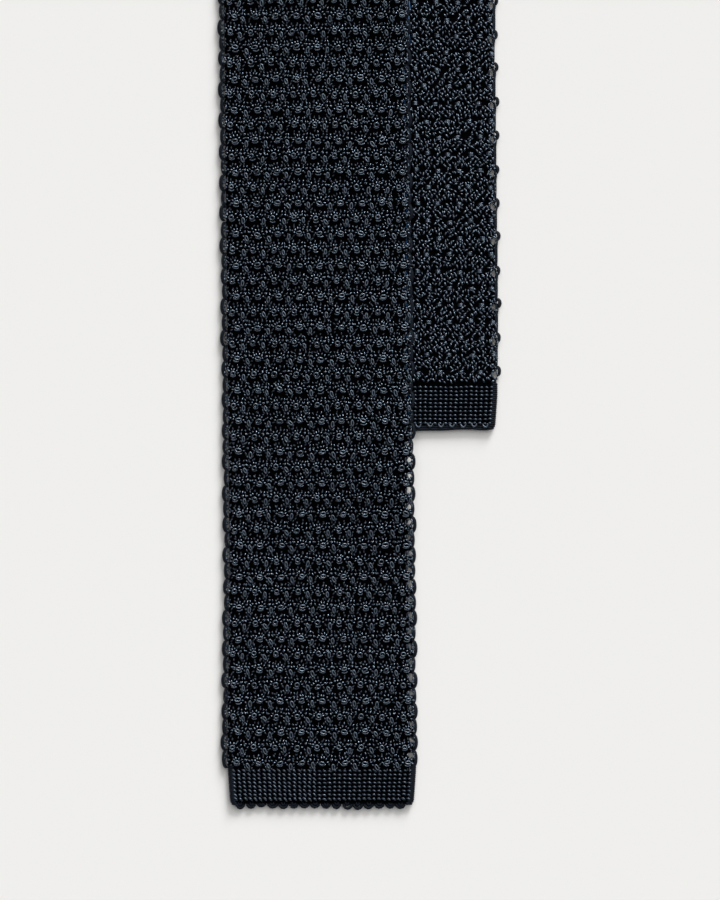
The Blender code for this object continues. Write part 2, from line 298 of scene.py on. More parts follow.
class Yarns:
    """Lines of yarn in world places, kept until they are made into pieces."""

    def __init__(self):
        self.kept = []
        self.look = PLAIN

    def add(self, points, radius, sides):
        """points is (N, K, 3); radius is (K,) or (N, K), thinner where the yarn dives in."""
        radius = np.broadcast_to(radius, points.shape[:2])
        self.kept.append((points, radius, sides, self.look))

    def piece(self, name, low=-9.0, high=9.0):
        """One mesh of the yarns whose middles lie from low to high along Y."""
        vertices, faces, marks, looks, base = [], [], [], [], 0
        for points, radius, sides, look in self.kept:
            middle = points[:, :, 1].mean(1)
            here = (middle >= low) & (middle < high)
            if not here.any():
                continue
            v, f, m = tubes(points[here], radius[here], sides)
            vertices.append(v)
            faces.append(f + base)
            marks.append(m)
            looks.append(np.full(len(f), look, dtype=np.int32))
            base += len(v)
        made = mesh_object(name, np.concatenate(vertices), np.concatenate(faces), np.concatenate(marks))
        # The plain silk, the darker copy that is painted shade, and the shinier copy that is painted
        # highlight.
        for material in (SILK, SILK_PAINTED_SHADE, SILK_PAINTED_HIGHLIGHT):
            made.data.materials.append(material)
        made.data.polygons.foreach_set("material_index", np.concatenate(looks))
        return made


def mesh_object(name, vertices, faces, marks=None):
    """A mesh from arrays; marks are yarn coordinates, kept on its points."""
    mesh = bpy.data.meshes.new(name)
    mesh.vertices.add(len(vertices))
    mesh.vertices.foreach_set("co", np.ascontiguousarray(vertices, np.float32).ravel())
    mesh.loops.add(faces.size)
    mesh.loops.foreach_set("vertex_index", np.ascontiguousarray(faces, np.int32).ravel())
    mesh.polygons.add(len(faces))
    mesh.polygons.foreach_set("loop_start", np.arange(len(faces), dtype=np.int32) * faces.shape[1])
    mesh.update(calc_edges=True)
    mesh.shade_smooth()
    if marks is not None:
        layer = mesh.attributes.new("yarn", "FLOAT_VECTOR", "POINT")
        layer.data.foreach_set("vector", np.ascontiguousarray(marks, np.float32).ravel())
    obj = bpy.data.objects.new(name, mesh)
    bpy.context.scene.collection.objects.link(obj)
    return obj


# Stitches, in fabric places


def jitter(count, size):
    """Small chance differences between stitches, of this usual size."""
    return rng.normal(0.0, size, count)


def bow(start, end, high, low, steps):
    """Yarn that comes out of the ground at start, arches over, and goes back in at end."""
    t = np.linspace(0, 1, steps)
    arch = np.sin(math.pi * t) ** 0.55
    line = start[:, None] + (end - start)[:, None] * t[None, :, None]
    out = low + (high - low)[:, None] * arch[None]
    return np.concatenate([line, out[..., None]], axis=-1)


def ring(centre, wide, tall, lean, out, steps, start=0.0, stop=2 * math.pi):
    """A loop of yarn lying on the fabric, leaned by an angle; whole, or from start to stop."""
    t = np.linspace(start, stop, steps)
    x = wide[:, None] * np.cos(t)[None]
    y = tall[:, None] * np.sin(t)[None]
    c, s = np.cos(lean)[:, None], np.sin(lean)[:, None]
    places = np.stack([centre[:, None, 0] + c * x - s * y, centre[:, None, 1] + s * x + c * y], -1)
    return np.concatenate([places, np.broadcast_to(out, x.shape)[..., None]], axis=-1)


def slant(lean, reach):
    """Half a stitch, across and along, from its angle and half its length."""
    return np.stack([np.cos(lean), np.sin(lean)], -1) * reach


def dome(dx, dy):
    """How high the yarn is lifted, this far across and along from a dome's middle."""
    return DOME * np.exp(-((dx / (2.2 * MM)) ** 2) - ((dy - 0.3 * MM) / (1.8 * MM)) ** 2)


def taper(steps, end=0.35):
    """Shares of the yarn's thickness along a stitch, thinner where its ends dive in."""
    t = np.linspace(0, 1, steps)
    return end + (1 - end) * np.sin(math.pi * t) ** 0.35


def cells(half, low, high):
    """Middles of the raised stitches, and whether each is in an even row."""
    found, even = [], []
    count = int(round(2 * half.nominal / CELL_WIDE))
    for row in half.rows(low, high):
        shift = 0.0 if row % 2 == 0 else ROW_SHIFT
        xs = (np.arange(count) - (count - 1) / 2) * CELL_WIDE - 0.75 * MM + shift
        found += [(x, half.rows_at + row * half.row) for x in xs]
        even += [row % 2 == 0] * count
    return np.array(found), np.array(even)


def lay(yarns, half, points, radius, sides, face=1):
    """Adds fabric lines to the yarns, parted round the eyelets, without any that would cover one."""
    points = half.shape(points)
    points = points[half.clear(points)]
    points[..., 2] *= face
    yarns.add(half.place(points), radius, sides)


def put(yarns, half, points, radius, sides, face, middle=None):
    """Adds fabric lines that lie inside the edges; a dome's middle, where given, lifts them."""
    points = points.copy()
    if face < 0:
        points[..., 2] = np.minimum(points[..., 2], BACK_OUT)
    elif middle is not None:
        points[..., 2] += dome(points[..., 0] - middle[:, None, 0], points[..., 1] - middle[:, None, 1])
    if face > 0 and half.fold_at is not None:
        highest = FOLD_OUT + FOLD_RISE * np.abs(points[..., 1] - half.fold_at)
        points[..., 2] = np.minimum(points[..., 2], highest)
    inside = np.abs(points[..., 0]).max(1) < half.nominal - EDGE_MARGIN
    lay(yarns, half, points[inside], radius, sides, face)


# One dome's short stitches, as measured from its ring, in millimetres: across, along, angle,
# length, lift above the face, thickness as a share of the yarn's. The crown stands close round
# the ring's upper side, the outer ones round the crown, the legs between a dome and the next,
# and the last ones in the hollow below it. On the face, those lifted more than the lift set below
# take the shinier silk copy, a painted highlight.
CROWN = [
    (1.72 * math.cos(a), 1.62 * math.sin(a), a, 0.85, 0.20, 1.08)
    for a in np.radians((4, 40, 74, 108, 142, 176))
]
OUTER = [
    (2.75 * math.cos(a), 2.55 * math.sin(a), a, 1.05, 0.02, 1.05)
    for a in np.radians((20, 52, 90, 128, 160))
]
LEGS = [
    (2.93, 0.72, 1.10, 1.15, 0.40, 1.0), (4.05, 0.72, 2.04, 1.15, 0.40, 1.0),
    (2.96, 2.00, 1.15, 1.00, 0.10, 1.0), (4.02, 2.00, 1.99, 1.00, 0.10, 1.0),
    (3.00, -2.55, 1.90, 0.80, 0.05, 0.95), (4.05, -2.60, 1.20, 0.80, 0.05, 0.95),
]
HOLLOW = [
    (-2.25, -0.75, 0.75, 1.10, -0.30, 0.95), (2.25, -0.75, 2.35, 1.10, -0.30, 0.95),
    (-2.55, -1.95, 1.00, 1.00, -0.35, 0.90), (2.60, -2.00, 2.10, 1.00, -0.35, 0.90),
    (0.15, -2.55, 1.40, 0.80, -0.60, 0.85),
]
PAINTED_HIGHLIGHT_LIFT = 0.08


def raised_stitches(yarns, half, low, high, fine, face=1):
    """The openwork face: rows of small domes, each a ring of yarn under a crown of held stitches."""
    at, even = cells(half, low, high)
    at = at + rng.normal(0.0, 0.15 * MM, at.shape)
    n = len(at)
    sides, steps = (6, 6) if fine else (4, 4)
    size = 1 + jitter(n, 0.06)

    def spot(dx, dy):
        across = dx * size + jitter(n, 0.12 * MM)
        return at + np.stack([across, dy * size + jitter(n, 0.12 * MM)], -1)

    # The ring at the middle, closed and small in even rows, wide and open in odd ones.
    # On the face the ring and its cup take the shinier silk copy: a painted highlight on the domes'
    # tops.
    yarns.look = PAINTED_HIGHLIGHT if face > 0 else PLAIN
    wide = np.where(even, 0.70, 0.88) * MM * size
    tall = np.where(even, 0.62, 0.52) * MM * size
    out = np.full((n, 1), FACE_OUT + 0.36 * MM)
    whole = ring(spot(0, 0), wide, tall, jitter(n, 0.25), out, 13 if fine else 8)
    put(yarns, half, whole, YARN * 1.05, sides, face, at)

    # A stout stitch that cups the ring from below.
    cup = ring(
        spot(0, -0.08 * MM), wide + 0.34 * MM, tall + 0.48 * MM,
        jitter(n, 0.12), out - 0.40 * MM, steps + 3, 3.75, 5.70,
    )
    put(yarns, half, cup, YARN * 1.25 * taper(steps + 3, 0.5), sides, face, at)

    # A long loop of yarn beside the dome, leaning a little.
    long_loop = ring(
        spot(CELL_WIDE / 2, -1.15 * MM), 0.42 * MM * size, 0.95 * MM * size,
        jitter(n, 0.2) + 0.25, out + 0.42 * MM, 13 if fine else 6,
    )
    yarns.look = PLAIN
    put(yarns, half, long_loop, YARN, sides, face)

    short = CROWN + OUTER + LEGS + HOLLOW if fine else CROWN[::2] + OUTER[1::2] + LEGS[:2]
    for k, (across, along, angle, length, lift, thick) in enumerate(short):
        middle = spot(across * MM, along * MM)
        reach = slant(angle + jitter(n, 0.18), (length / 2 * MM * (1 + jitter(n, 0.12)))[:, None])
        high_out = FACE_OUT + lift * MM + jitter(n, 0.09 * MM)
        line = bow(middle - reach, middle + reach, high_out, FACE_OUT - 0.55 * MM, steps)
        # Stitches lifted high on the face take the shinier silk copy, a painted highlight; the rest
        # take the plain silk.
        yarns.look = PAINTED_HIGHLIGHT if face > 0 and lift > PAINTED_HIGHLIGHT_LIFT else PLAIN
        radius = YARN * thick * (1.0 if fine else 1.3) * taper(steps, 0.45)
        put(yarns, half, line, radius, sides, face, at if k < len(CROWN) else None)
    yarns.look = PLAIN


def flat_stitches(yarns, half, low, high, fine, face=1, side_from=-1.0, side_to=1.0):
    """The back of the same knit: slanting legs all over, and rows of flat bars with gaps between."""
    wale, course = CELL_WIDE / 4, half.row / 4
    columns = np.arange(int(round(2 * half.nominal / wale)) - 1)
    r, c = (g.ravel() for g in np.meshgrid(half.rows(low, high, 4), columns, indexing="ij"))
    x = (c - (len(columns) - 1) / 2) * wale
    place = (c + 2 * ((r // 4) % 2)) % 4
    gap = (r % 4 == 0) & (place % 2 == 1)
    barred = (r % 4 == 0) & (place == 2)
    x = x + np.where(r % 2 == 0, 0.0, 0.35 * wale)
    keep = (x > side_from * half.nominal) & (x <= side_to * half.nominal) & ~gap
    if face < 0:
        keep &= ((r + c) % 2 == 0) | barred
    r, x, barred, place = r[keep], x[keep], barred[keep], place[keep]
    at = np.stack([x, half.rows_at + r * course], -1) + rng.normal(0.0, 0.27 * MM, (len(x), 2))
    n = len(at)
    sides, steps = (6, 6) if fine else (4, 4)
    leans = np.where((place + r) % 3 == 0, 1.0, 2.15) + rng.normal(0.0, 0.38, n)
    reach = slant(leans, (0.74 * MM * (1 + jitter(n, 0.12)))[:, None])
    high_out = FACE_OUT + jitter(n, 0.16 * MM) + np.where(r % 4 == 2, 0.30 * MM, 0.0)
    legs = ~barred
    middle, reach = at[legs], reach[legs]
    line = bow(middle - reach, middle + reach, high_out[legs], FACE_OUT - 0.55 * MM, steps)
    put(yarns, half, line, YARN * (1.28 if fine else 1.50) * taper(steps, 0.5), sides, face)
    if fine:
        between = middle + np.array([wale / 2, course / 2])
        between = between + rng.normal(0.0, 0.20 * MM, between.shape)
        reach = slant(leans[legs] + jitter(len(between), 0.5), 0.55 * MM)
        high_between = high_out[legs] - 0.12 * MM
        line = bow(between - reach, between + reach, high_between, FACE_OUT - 0.60 * MM, steps)
        put(yarns, half, line, YARN * taper(steps, 0.5), sides, face)
    for shift in (-0.42, 0.0, 0.42):
        middle = at[barred] + np.array([0.0, shift * MM])
        count = len(middle)
        reach = np.stack([np.full(count, 0.95 * MM), jitter(count, 0.12 * MM)], -1)
        high_out = FACE_OUT + 0.22 * MM - 0.3 * abs(shift) * MM + jitter(count, 0.05 * MM)
        line = bow(middle - reach, middle + reach, high_out, FACE_OUT - 0.35 * MM, steps)
        put(yarns, half, line, YARN * 1.05 * taper(steps, 0.5), sides, face)


# Short stitches on top of a knob: across and along in millimetres, and angle.
KNOB_STITCHES = (
    (-0.55, 0.9, 1.2), (0.35, 1.2, 1.9), (-0.4, -0.2, 2.2),
    (0.5, 0.1, 1.1), (-0.3, -1.4, 1.6), (0.6, -1.2, 2.0),
)


def selvedge(yarns, half, low, high, fine):
    """Loops of yarn that turn round both edges, a rounded knob to every row."""
    sides, steps = (6, 11) if fine else (4, 6)
    angle = np.linspace(-1.75, 1.75, steps)
    layers = (-0.85, -0.45, 0.0, 0.45, 0.85) if fine else (-0.6, 0.6)
    rows = half.rows(low, high)
    at = half.rows_at + rows * half.row + half.knob_at + rng.normal(0, 0.15 * MM, len(rows))
    n, even = len(rows), rows % 2 == 0
    # The loops round the edges take the darker, duller silk copy: painted shade where the edges turn
    # away from the light.
    yarns.look = IN_SHADE
    for side, reach in zip((-1, 1), half.reach):
        proud = np.where(even, half.proud[0], half.proud[1]) + jitter(n, 0.12 * MM)
        depth = np.where(even, half.knob_depth[0], half.knob_depth[1])[:, None]
        share = np.where(even, half.knob_long[0], half.knob_long[1])
        half_long = share * half.row * (1 + jitter(n, 0.04))
        for layer in layers:
            round_off = 1.15 * MM * (1 - math.sqrt(1 - (abs(layer) / 1.05) ** 2))
            points = np.empty((n, steps, 3))
            out_to = half.nominal + reach + proud - round_off - YARN
            points[..., 0] = side * (out_to[:, None] - depth * (1 - np.cos(angle))[None])
            points[..., 1] = at[:, None] + half_long[:, None] * np.sin(angle)[None]
            points[..., 2] = layer * MM - 0.35 * MM * np.sign(layer) * (1 - np.cos(angle))[None]
            lay(yarns, half, points, YARN * 1.3 * taper(steps, 0.6), sides)
    yarns.look = PLAIN
    for side, reach in zip((-1, 1), half.reach):
        for face in (-1, 1) if fine else ():
            for across, along, lean in KNOB_STITCHES:
                x = side * (half.nominal + reach - 1.25 * MM + across * MM)
                middle = np.stack([np.full(n, x), at + along * MM], -1)
                middle = middle + rng.normal(0, 0.12 * MM, (n, 2))
                stitch = slant(lean + jitter(n, 0.3), 0.50 * MM)
                high_out = FACE_OUT - 0.45 * MM * max(across, 0.0) + jitter(n, 0.08 * MM)
                line = bow(middle - stitch, middle + stitch, high_out, FACE_OUT - 0.6 * MM, 6)
                lay(yarns, half, line, YARN * 1.05 * taper(6, 0.45), sides, face)


def band_edges(half, up):
    """How far out a band's left and right edges lie, at heights above its end."""
    across = np.clip(1 - up / (2.6 * MM), 0, 1)
    corner = 2.2 * MM * (1 - np.sqrt(1 - across**2)) + 0.07 * (12 * MM - np.clip(up, 0, 12 * MM))
    left, right = half.band_in
    return -(half.nominal - left - corner), half.nominal - right - corner


def band_stitches(yarns, half, long, face, lean):
    """The plain fine knit of an end band: columns of short slanting ticks with grooves between."""
    wale, course = 1.73 * MM, 1.32 * MM
    columns = int(round(2 * half.nominal / wale))
    courses = int((long - 2.0 * MM) / course)
    r, c = (g.ravel() for g in np.meshgrid(np.arange(courses), np.arange(columns), indexing="ij"))
    up = 2.5 * MM + r * course
    left, right = band_edges(half, up)
    share = (c + 0.5) / columns
    x = left + 0.8 * MM + share * (right - left - 1.6 * MM)
    uneven = rng.normal(0, 0.04 * MM, columns)[c]
    at = np.stack([x, half.end + up + uneven], -1) + rng.normal(0.0, 0.05 * MM, (len(x), 2))
    n, steps = len(at), 7
    slope = np.where(share < 0.48, 0.78, 0.36) * lean * (1 + jitter(n, 0.12))
    t = np.linspace(-1, 1, steps)
    dx = (0.60 * MM * (1 + jitter(n, 0.08)))[:, None] * t[None]
    dy = -slope[:, None] * dx + 0.22 * MM * (1 - t[None] ** 2)
    rounded = 0.62 * MM * (np.sqrt(1 - 0.97 * t**2) - 1)
    out = FACE_OUT + 0.10 * MM + rounded[None] + jitter(n, 0.04 * MM)[:, None]
    out = out * end_depth(up)[:, None] * face
    points = np.stack([at[:, None, 0] + dx, at[:, None, 1] + dy, out], -1)
    yarns.add(half.place(points), YARN * 1.38 * taper(steps, 0.6), 6)


def band_sides(yarns, half, long):
    """The band's smooth side edges, yarn wrapped from face to back in every row."""
    ups = np.arange(1.0 * MM, long, 0.66 * MM)
    n, steps = len(ups), 9
    angle = np.linspace(-0.5, math.pi + 0.5, steps)
    for side, edge in zip((-1, 1), band_edges(half, ups)):
        points = np.empty((n, steps, 3))
        points[..., 0] = edge[:, None] + side * (np.sin(angle)[None] - 1) * 1.15 * MM
        points[..., 1] = half.end + ups[:, None] + side * np.linspace(0.3, -0.3, steps)[None] * MM
        points[..., 2] = FACE_OUT * np.cos(angle)[None] * end_depth(ups)[:, None]
        yarns.add(half.place(points), YARN * 1.4 * taper(steps, 0.6), 6)


def end_depth(up):
    """A band's share of its full thickness, at heights above its end."""
    return 1 - 0.45 * np.clip(1 - up / (2.4 * MM), 0, 1) ** 2


def scallops(yarns, half, pitch, reach, out):
    """The scalloped end: a knob of doubled yarn to every two columns of the band."""
    count = int(round(2 * (half.nominal - 2.6 * MM) / pitch))
    xs = (np.arange(count) - (count - 1) / 2) * pitch
    for wide, tall, thick in ((0.40 * pitch, 1.00, 0.50), (0.15 * pitch, 0.45, 0.62)):
        at = np.stack([xs, np.full(count, half.end + 1.3 * MM)], -1)
        at = at + rng.normal(0, 0.10 * MM, (count, 2))
        wides = np.full(count, wide) * (1 + jitter(count, 0.06))
        talls = np.full(count, tall * (reach + 0.3 * MM)) * (1 + jitter(count, 0.10))
        points = ring(at, wides, talls, jitter(count, 0.10), out, 9, math.pi - 0.5, 2 * math.pi + 0.5)
        yarns.add(half.place(points), thick * MM * taper(9, 0.7), 8)


def end_cord(yarns, half, up, out, thick, waves):
    """A rolled edge of yarn right across the end, dipping and rising a little."""
    left, right = band_edges(half, np.array([up]))
    share = np.linspace(0, 1, 60)
    x = left + 1.2 * MM + share * (right - left - 2.4 * MM)
    turns = waves * share * 2 * math.pi
    dip = 0.25 * MM * np.sin(turns + 0.6) + 0.10 * MM * np.sin(2.7 * turns)
    points = np.stack([x, half.end + up + dip, np.full(60, out)], -1)[None]
    yarns.add(half.place(points), thick * taper(60, 0.6), 8)


def end_loops(yarns, half):
    """Open loops along a band's last row, one to every two columns."""
    pitch = 3.6 * MM
    count = int(round(2 * (half.nominal - 2.0 * MM) / pitch))
    xs = (np.arange(count) - (count - 1) / 2) * pitch
    at = np.stack([xs, np.full(count, half.end + 2.5 * MM)], -1) + rng.normal(0, 0.08 * MM, (count, 2))
    wide, tall = np.full(count, 0.80 * MM), np.full(count, 0.95 * MM)
    points = ring(at, wide, tall, jitter(count, 0.1), FACE_OUT, 9, math.pi - 0.2, 2 * math.pi + 0.2)
    yarns.add(half.place(points), YARN * 1.25 * taper(9, 0.7), 6)


def ground(name, half, low, high, banded=False):
    """The inner surface of the knitted tube, one strip folded round and open at its back seam."""
    fine = high < NEAR_LIMIT + MM
    step = (0.75 if fine else 1.5) * MM
    ys = np.linspace(low, high, max(int((high - low) / step), 2) + 1)
    reach = half.nominal - 1.0 * MM
    beside_eyelets = reach - 4 * MM
    inward = np.linspace(-reach, beside_eyelets, 26)[:-1]
    flat = np.concatenate([inward, np.linspace(beside_eyelets, reach, 9 if fine else 4)])
    round_edge = np.radians([60, 90, 120])
    under = [(x, -1) for x in flat[flat < half.seam - SEAM_SLIT][::-1]]
    left = [(-reach - GROUND_OUT * math.sin(a), -math.cos(a)) for a in round_edge]
    over = [(x, 1) for x in flat]
    right = [(reach + GROUND_OUT * math.sin(a), math.cos(a)) for a in round_edge]
    back = [(x, -1) for x in flat[flat > half.seam + SEAM_SLIT][::-1]]
    section = np.array(under + left + over + right + back)
    section[:, 1] *= -half.seam_face
    points = np.empty((len(ys), len(section), 3))
    points[..., 0] = section[None, :, 0]
    points[..., 1] = ys[:, None]
    points[..., 2] = section[None, :, 1] * GROUND_OUT
    if banded:
        band_left, band_right = band_edges(half, np.maximum(ys - half.end, 0))
        low_down = (ys < half.end + FRONT_BAND + 0.4 * MM)[:, None]
        fit = np.where(points[..., 0] > 0, band_right[:, None], -band_left[:, None]) - 0.6 * MM
        points[..., 0] = np.where(low_down, points[..., 0] / (reach + GROUND_OUT) * fit, points[..., 0])
    faces = grid_faces(len(ys), len(section))
    middles = points.reshape(-1, 3)[faces].mean(1)
    solid = half.from_eyelet(middles[:, 0], middles[:, 1])[2] > EYELET_HOLE
    return mesh_object(name, half.place(half.shape(points)).reshape(-1, 3), faces[solid])


def ribbon(name, half, middle, thick):
    """A thin woven strip: middle is a grid of fabric places, and it is closed round its edges."""
    rows, columns = middle.shape[:2]
    edge = np.ones((rows, columns))
    edge[0] = edge[-1] = 0.35
    edge[:, 0] = edge[:, -1] = 0.35
    upper, lower = middle.copy(), middle.copy()
    upper[..., 2] += thick / 2 * edge
    lower[..., 2] -= thick / 2 * edge
    count = rows * columns
    faces = grid_faces(rows, columns)
    index = np.arange(count).reshape(rows, columns)
    rim = np.concatenate([index[0], index[1:, -1], index[-1, -2::-1], index[-2:0:-1, 0]])
    after = np.roll(rim, -1)
    walls = np.stack([rim, rim + count, after + count, after], -1)
    points = np.concatenate([half.place(upper).reshape(-1, 3), half.place(lower).reshape(-1, 3)])
    return mesh_object(name, points, np.concatenate([faces, faces[:, ::-1] + count, walls]))


def strip_places(acrosses, alongs, out):
    """A grid of fabric places; out is one height or a height for each place across."""
    grid = np.empty((len(alongs), len(acrosses), 3))
    grid[..., 0] = np.asarray(acrosses)[None]
    grid[..., 1] = np.asarray(alongs)[:, None]
    grid[..., 2] = np.asarray(out)[None] if np.ndim(out) else out
    return grid


def seam_stitches(half, low, high, face, thick):
    """A row of long slanting stitches that draws the folded strip's two edges together."""
    yarns = Yarns()
    ys = np.arange(low, high - half.row, half.row)
    n = len(ys)
    seam = half.seam - half.seam * np.clip((SEAM_MOVES_TO - ys) / SEAM_MOVES_OVER, 0, 1)
    start = np.stack([seam - 0.25 * MM + jitter(n, 0.08 * MM), ys + half.row * 1.0], -1)
    end = np.stack([seam + 0.30 * MM + jitter(n, 0.08 * MM), ys + half.row * 0.06], -1)
    line = bow(start, end, np.full(n, FACE_OUT + 0.30 * MM), FACE_OUT - 0.35 * MM, 9)
    line[..., 2] *= face
    yarns.add(half.place(line), thick * taper(9, 0.6), 6)
    return yarns


def bar_stitches(half, points, thick):
    """A zigzag of thread through fabric places."""
    yarns = Yarns()
    yarns.add(half.place(points)[None], thick * taper(len(points), 0.7), 6)
    return yarns


def grid_faces(rows, columns):
    """Four-sided faces between the points of a grid, kept row by row."""
    r, c = np.meshgrid(np.arange(rows - 1), np.arange(columns - 1), indexing="ij")
    first = r * columns + c
    return np.stack([first, first + 1, first + columns + 1, first + columns], -1).reshape(-1, 4)


# Materials


def group(name, inputs, outputs):
    """An empty shader group, with its inputs' and outputs' nodes."""
    made = bpy.data.node_groups.new(name, "ShaderNodeTree")
    for word in inputs:
        made.interface.new_socket(word, in_out="INPUT", socket_type="NodeSocketFloat")
    for word in outputs:
        made.interface.new_socket(word, in_out="OUTPUT", socket_type="NodeSocketFloat")
    return made, made.nodes.new("NodeGroupInput"), made.nodes.new("NodeGroupOutput")


def yarn_group():
    """Shade and twist of a yarn, from the length, turn and chance kept on its points."""
    made, given, result = group("yarn_look", ("Fleck Scale", "Twists per mm"), ("Shade", "Twist"))
    nodes, links = made.nodes, made.links
    marks = nodes.new("ShaderNodeAttribute")
    marks.attribute_name = "yarn"
    split = nodes.new("ShaderNodeSeparateXYZ")
    links.new(marks.outputs["Vector"], split.inputs[0])
    along = maths(nodes, links, "MULTIPLY", split.outputs[0], given.outputs["Twists per mm"])
    turned = maths(nodes, links, "ADD", along, split.outputs[1])
    wave = maths(nodes, links, "SINE", maths(nodes, links, "MULTIPLY", turned, 4 * math.pi))
    chance = maths(nodes, links, "MULTIPLY_ADD", split.outputs[2], 0.7, 0.65)
    flecks = nodes.new("ShaderNodeTexNoise")
    place = nodes.new("ShaderNodeTexCoord")
    links.new(place.outputs["Object"], flecks.inputs["Vector"])
    links.new(given.outputs["Fleck Scale"], flecks.inputs["Scale"])
    shade = maths(nodes, links, "MULTIPLY", flecks.outputs["Fac"], chance)
    links.new(shade, result.inputs["Shade"])
    links.new(wave, result.inputs["Twist"])
    return made


def weave_group():
    """A plain weave: where two sets of threads both come to the top."""
    made, given, result = group("close_weave", ("Scale",), ("Weave",))
    nodes, links = made.nodes, made.links
    place = nodes.new("ShaderNodeTexCoord")
    threads = []
    for direction in ("X", "Y"):
        wave = nodes.new("ShaderNodeTexWave")
        wave.bands_direction = direction
        links.new(given.outputs["Scale"], wave.inputs["Scale"])
        links.new(place.outputs["Object"], wave.inputs["Vector"])
        threads.append(wave.outputs["Fac"])
    links.new(maths(nodes, links, "MULTIPLY", *threads), result.inputs["Weave"])
    return made


def maths(nodes, links, operation, *values):
    """One step of arithmetic on numbers or other nodes' outputs."""
    node = nodes.new("ShaderNodeMath")
    node.operation = operation
    for socket, value in zip(node.inputs, values):
        if isinstance(value, (int, float)):
            socket.default_value = value
        else:
            links.new(value, socket)
    return node.outputs[0]


def principled(name):
    """A new material, with its nodes, links and shader."""
    made = bpy.data.materials.new(name)
    made.use_nodes = True
    return made, made.node_tree.nodes, made.node_tree.links, made.node_tree.nodes["Principled BSDF"]


def mix(nodes, links, low, high, factor):
    """A colour between low and high."""
    node = nodes.new("ShaderNodeMix")
    node.data_type = "RGBA"
    node.inputs["A"].default_value = (*low, 1)
    node.inputs["B"].default_value = (*high, 1)
    links.new(factor, node.inputs["Factor"])
    return node.outputs["Result"]


def placed(nodes, effect, **values):
    """One of the shared effects, with this material's own values."""
    node = nodes.new("ShaderNodeGroup")
    node.node_tree = effect
    for word, value in values.items():
        node.inputs[word.replace("_", " ")].default_value = value
    return node


def roughen(nodes, links, shader, height, strength):
    """Raises the surface a little where height is high."""
    bump = nodes.new("ShaderNodeBump")
    bump.inputs["Strength"].default_value = strength
    bump.inputs["Distance"].default_value = 0.05 * MM
    links.new(height, bump.inputs["Height"])
    links.new(bump.outputs["Normal"], shader.inputs["Normal"])


def silk(name, dark, light, roughness, shine, bend=1.75):
    """Silk yarn: nearly black navy with a soft cool sheen."""
    made, nodes, links, shader = principled(name)
    look = placed(nodes, YARN_LOOK, Fleck_Scale=900.0, Twists_per_mm=1.25)
    links.new(mix(nodes, links, dark, light, look.outputs["Shade"]), shader.inputs["Base Color"])
    shader.inputs["Roughness"].default_value = roughness
    shader.inputs["IOR"].default_value = bend
    shader.inputs["Specular IOR Level"].default_value = shine
    shader.inputs["Specular Tint"].default_value = (0.66, 0.82, 1.0, 1.0)
    roughen(nodes, links, shader, look.outputs["Twist"], 0.35)
    return made


def cloth(name, dark, light, scale):
    """A plain close weave of fine threads."""
    made, nodes, links, shader = principled(name)
    weave = placed(nodes, CLOSE_WEAVE, Scale=scale).outputs["Weave"]
    links.new(mix(nodes, links, dark, light, weave), shader.inputs["Base Color"])
    shader.inputs["Roughness"].default_value = 0.8
    roughen(nodes, links, shader, weave, 0.4)
    return made


def paint(obj, material):
    """Covers a piece with one material."""
    obj.data.materials.clear()
    obj.data.materials.append(material)
    return obj


# Stage


def make_floor():
    """A pale floor, which falls beyond the neck, where the unfolded front half comes to lie."""
    ys = np.concatenate([[-3.0], np.linspace(FALL_FROM, FALL_FROM + FALL_LONG, 40), [3.0]])
    fall = 0.5 - 0.5 * np.cos(math.pi * np.clip((ys - FALL_FROM) / FALL_LONG, 0, 1))
    rows = [[(x, y, FLOOR_AT - FLOOR_FALLS * down) for x in (-3.0, 3.0)] for y, down in zip(ys, fall)]
    floor = mesh_object("floor", np.array(rows).reshape(-1, 3), grid_faces(len(ys), 2))
    made, nodes, links, shader = principled("pale_floor")
    noise = nodes.new("ShaderNodeTexNoise")
    noise.inputs["Scale"].default_value = 3.0
    colour = mix(nodes, links, (0.868, 0.860, 0.845), (0.872, 0.864, 0.849), noise.outputs["Fac"])
    links.new(colour, shader.inputs["Base Color"])
    shader.inputs["Roughness"].default_value = 1.0
    shader.inputs["Specular IOR Level"].default_value = 0.0
    paint(floor, made)


def light_room():
    """An evenly lit room, a key from beyond the neck and a broad fill, whose shares add to one."""
    world = bpy.data.worlds.new("studio")
    bpy.context.scene.world = world
    world.use_nodes = True
    world.node_tree.nodes["Background"].inputs["Color"].default_value = (1, 1, 1, 1)
    world.node_tree.nodes["Background"].inputs["Strength"].default_value = ROOM_LIGHT
    lamp("key", (0.33, 0.90, 0.52), 26, 1.0 - ROOM_LIGHT - FILL_LIGHT)
    lamp("fill", (0.25, 0.45, 1.00), 80, FILL_LIGHT)


def lamp(name, offset, spread, share):
    """A broad far light that gives the floor a share of its brightness."""
    data = bpy.data.lights.new(name, "SUN")
    data.angle = math.radians(spread)
    toward = np.array(offset) / np.linalg.norm(offset)
    data.energy = share * math.pi / toward[2]
    obj = bpy.data.objects.new(name, data)
    bpy.context.scene.collection.objects.link(obj)
    obj.location = toward
    obj.rotation_euler = Vector(-toward).to_track_quat("-Z", "Y").to_euler()


def camera():
    """Looks straight down on the near ends, from far enough to see them nearly flat."""
    data = bpy.data.cameras.new("camera")
    data.sensor_fit = "VERTICAL"
    data.sensor_height = 24.0
    data.lens = data.sensor_height * VIEW_DISTANCE / VIEW_TALL
    data.clip_start = 0.01
    obj = bpy.data.objects.new("camera", data)
    obj.location = (0.0, VIEW_Y, VIEW_DISTANCE + VIEW_HIGH)
    bpy.context.scene.collection.objects.link(obj)
    bpy.context.scene.camera = obj
    bpy.context.scene.view_settings.view_transform = "Standard"


# The tie

